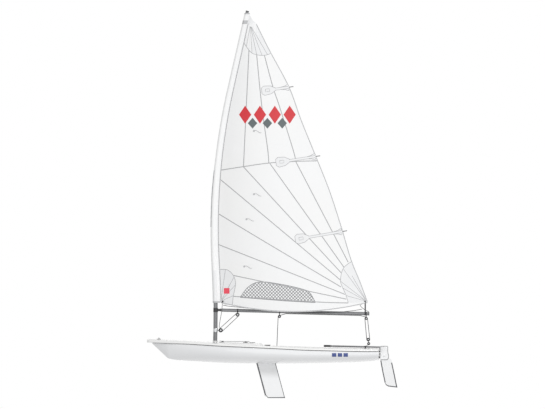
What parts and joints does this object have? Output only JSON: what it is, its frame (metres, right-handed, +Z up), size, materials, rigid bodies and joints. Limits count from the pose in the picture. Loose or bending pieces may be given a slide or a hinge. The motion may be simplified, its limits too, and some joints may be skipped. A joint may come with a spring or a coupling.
{
  "type": "single-handed sailing dinghy",
  "caption": "Decked racing dinghy with an unstayed mast, sleeved sail and boom, lifting daggerboard, and a rudder with tiller and kick-up blade.",
  "frame": {"origin": "on the waterline plane, on the centreline, in the middle of the waterline's length", "axes": "+X forward to the bow, +Y to port, +Z up"},
  "size_m": [4.555, 1.37, 7.0501],
  "materials": {
    "hull_gelcoat": "glossy moulded gelcoat, pale grey",
    "deck_gelcoat": "moulded gelcoat, white, with non-skid panels",
    "grey_alloy": "satin anodised alloy tube, mid grey",
    "silver_alloy": "satin anodised alloy",
    "black_fitting": "moulded black nylon",
    "black_rubber": "matt rubber",
    "sailcloth": "woven polyester sailcloth, firm",
    "webbing": "woven black webbing",
    "white_foil": "painted white foil",
    "grey_moulding": "moulded light grey plastic",
    "steel": "stainless steel"
  },
  "bodies": {
    "hull": {"hull_shell": "hull_gelcoat", "deck": "deck_gelcoat", "cockpit_tub": "deck_gelcoat", "mast_step": "grey_moulding", "bow_eye": "black_fitting", "control_cleats": "black_fitting", "deck_blocks": "black_fitting", "ratchet_block": "black_fitting", "grab_rails": "silver_alloy", "hiking_strap": "webbing", "bailer": "steel", "transom_bung": "black_fitting", "traveller_eyes": "black_fitting", "traveller_block": "black_fitting", "lower_sheet_block": "black_fitting", "gudgeons": "black_fitting"},
    "rig": {"lower_mast": "grey_alloy", "mast_heel_plug": "black_fitting", "mast_collar": "black_fitting", "upper_mast": "grey_alloy", "mast_cap": "black_fitting", "gooseneck": "black_fitting", "vang_tang": "black_fitting", "vang_lower_block": "black_fitting", "vang_upper_block": "black_fitting", "boom": "grey_alloy", "boom_front_plug": "black_fitting", "boom_end_cap": "black_fitting", "boom_middle_block": "black_fitting", "boom_end_block": "black_fitting", "sail_sleeve": "sailcloth", "sail_luff_cloth": "sailcloth", "sail_middle_cloth": "sailcloth", "sail_leech_cloth": "sailcloth"},
    "daggerboard": {"daggerboard": "white_foil", "board_stop": "black_rubber"},
    "rudder": {"rudder_head": "white_foil", "pintles": "black_fitting", "tiller": "grey_alloy", "tiller_joint": "black_rubber", "tiller_extension": "silver_alloy", "blade_bolt": "steel"},
    "rudder_blade": {"rudder_blade": "white_foil"}
  },
  "joints": [
    {"name": "rig_turn", "type": "hinge", "parent": "hull", "child": "rig", "pos_m": [1.0966, 0, 0.01], "axis": [-0.0209, 0, 0.9998], "range_deg": [-90, 90]},
    {"name": "board_slide", "type": "slide", "parent": "hull", "child": "daggerboard", "axis": [0.2588, 0, 0.9659], "range_m": [0, 0.42]},
    {"name": "rudder_turn", "type": "hinge", "parent": "hull", "child": "rudder", "pos_m": [-1.906, 0, 0], "axis": [0, 0, 1], "range_deg": [-45, 45]},
    {"name": "blade_kick", "type": "hinge", "parent": "rudder", "child": "rudder_blade", "pos_m": [-1.985, 0, 0.05], "axis": [0, 1, 0], "range_deg": [0, 90]}
  ]
}
